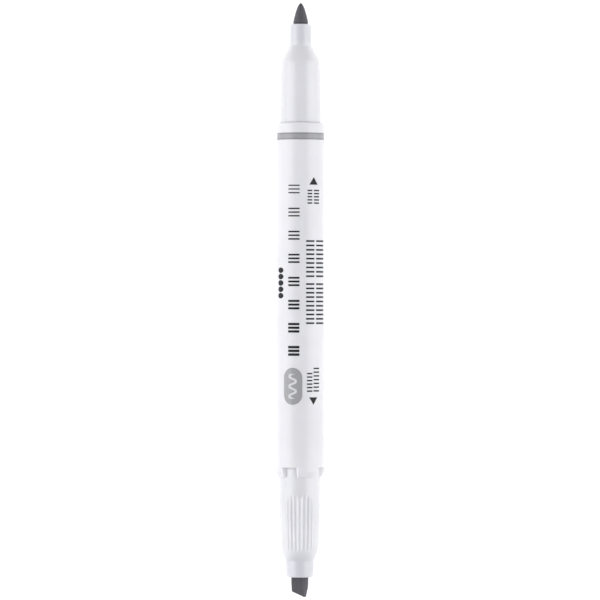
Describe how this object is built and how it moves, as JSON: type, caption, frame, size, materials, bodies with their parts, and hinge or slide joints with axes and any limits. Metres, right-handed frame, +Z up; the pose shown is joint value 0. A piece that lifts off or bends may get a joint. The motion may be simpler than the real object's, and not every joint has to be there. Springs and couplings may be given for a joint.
{
  "type": "felt tip marker",
  "caption": "Double-ended felt tip marker with both caps off, with a bullet nib at the fine end and a slanted chisel nib at the bold end.",
  "frame": {"origin": "under the middle of the marker, on the surface that it lies on", "axes": "+X along the marker's axis towards the bullet nib at the fine end, -X towards the chisel nib at the bold end, +Z up through the printed side of the barrel"},
  "size_m": [0.129, 0.0106, 0.0106],
  "materials": {
    "barrel_plastic": "white moulded polypropylene, soft gloss",
    "section_plastic": "white moulded polypropylene, satin, slightly translucent",
    "nib_felt": "bonded fibre soaked with grey ink, matte",
    "reservoir_fibre": "lengthwise polyester fibre soaked with grey ink",
    "reservoir_film": "thin clear film"
  },
  "bodies": {
    "root": {"barrel": "barrel_plastic", "fine_section": "section_plastic", "bold_section": "section_plastic", "bullet_nib": "nib_felt", "chisel_nib": "nib_felt", "reservoir_core": "reservoir_fibre", "reservoir_wrap": "reservoir_film"}
  },
  "joints": []
}
